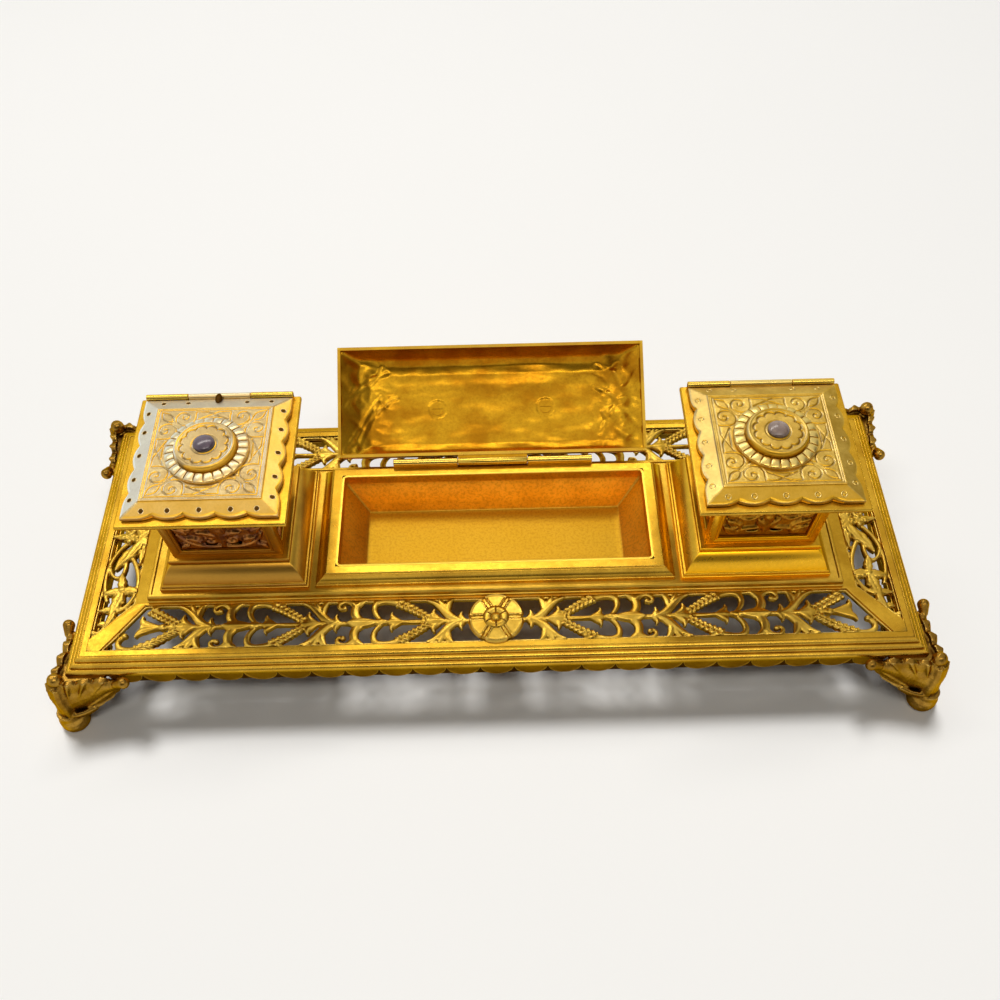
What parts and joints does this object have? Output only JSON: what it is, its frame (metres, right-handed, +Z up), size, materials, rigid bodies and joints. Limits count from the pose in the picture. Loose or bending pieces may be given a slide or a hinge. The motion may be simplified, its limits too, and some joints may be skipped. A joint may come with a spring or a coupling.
{
  "type": "desk inkstand",
  "caption": "Gilt-brass desk inkstand: a pierced rectangular base on leaf feet, square lidded inkwells and a sunk pen tray under a hipped hinged lid.",
  "frame": {"origin": "on the table under the middle of the base", "axes": "+X along the length to the right, +Y to the back where the lids hinge, +Z up"},
  "size_m": [0.3542, 0.1462, 0.0878],
  "materials": {
    "gilt_satin": "satin gilding, brighter on the arrises",
    "gilt_shaded": "gilding in shade, brown in the valleys",
    "gilt_pierced": "cast gilding, dark in the recesses",
    "gilt_feet": "cast gilding with brown patina between the lobes",
    "gilt_orange": "smooth orange gilding",
    "gilt_hammered": "rough-polished orange gilding",
    "gilt_engraved": "satin gilding with dark engraved lines",
    "left_relief_patina": "purple-brown patina",
    "right_relief_gilt": "gilding with dark recesses",
    "hinge_brass": "worn brass",
    "screw_brass": "turned brass",
    "stone": "polished brown-grey cabochon",
    "liner_glass": "clear moulded glass"
  },
  "bodies": {
    "base": {"base_frame": "gilt_satin", "apron_front": "gilt_shaded", "apron_back": "gilt_shaded", "apron_left": "gilt_shaded", "apron_right": "gilt_shaded", "grille_front": "gilt_pierced", "grille_back": "gilt_pierced", "grille_left": "gilt_pierced", "grille_right": "gilt_pierced", "rosette_front": "gilt_pierced", "rosette_back": "gilt_pierced", "foot_front_left": "gilt_feet", "foot_front_right": "gilt_feet", "foot_back_left": "gilt_feet", "foot_back_right": "gilt_feet", "foot_screws": "screw_brass", "platform": "gilt_satin", "tray_frame": "gilt_satin", "tray_frame_screws": "screw_brass", "tray": "gilt_orange", "tray_hinge_pin": "hinge_brass", "left_plinth": "gilt_satin", "left_body": "gilt_satin", "left_relief_front": "left_relief_patina", "left_relief_back": "left_relief_patina", "left_relief_inner": "left_relief_patina", "left_relief_outer": "left_relief_patina", "left_collar": "gilt_satin", "left_liner": "liner_glass", "left_hinge_pin": "hinge_brass", "left_fixing_screw": "screw_brass", "right_plinth": "gilt_satin", "right_body": "gilt_satin", "right_relief_front": "right_relief_gilt", "right_relief_back": "right_relief_gilt", "right_relief_inner": "right_relief_gilt", "right_relief_outer": "right_relief_gilt", "right_collar": "gilt_satin", "right_liner": "liner_glass", "right_hinge_pin": "hinge_brass", "right_fixing_screw": "screw_brass"},
    "tray_cover": {"tray_lid": "gilt_hammered", "tray_lid_plaque": "gilt_satin", "tray_lid_boss": "gilt_satin", "tray_lid_stone": "stone", "tray_lid_screws": "gilt_hammered"},
    "left_cover": {"left_lid": "gilt_engraved", "left_lid_ring": "gilt_engraved", "left_lid_disc": "gilt_engraved", "left_lid_stone": "stone"},
    "right_cover": {"right_lid": "gilt_engraved", "right_lid_ring": "gilt_engraved", "right_lid_disc": "gilt_engraved", "right_lid_stone": "stone"}
  },
  "joints": [
    {"name": "left_lid_hinge", "type": "hinge", "parent": "base", "child": "left_cover", "pos_m": [-0.1018, 0.02915, 0.07885], "axis": [-1, 0, 0], "range_deg": [0, 110]},
    {"name": "right_lid_hinge", "type": "hinge", "parent": "base", "child": "right_cover", "pos_m": [0.1018, 0.02915, 0.07885], "axis": [-1, 0, 0], "range_deg": [0, 110]},
    {"name": "tray_lid_hinge", "type": "hinge", "parent": "base", "child": "tray_cover", "pos_m": [0, 0.0272, 0.0418], "axis": [1, 0, 0], "range_deg": [0, 157]}
  ]
}
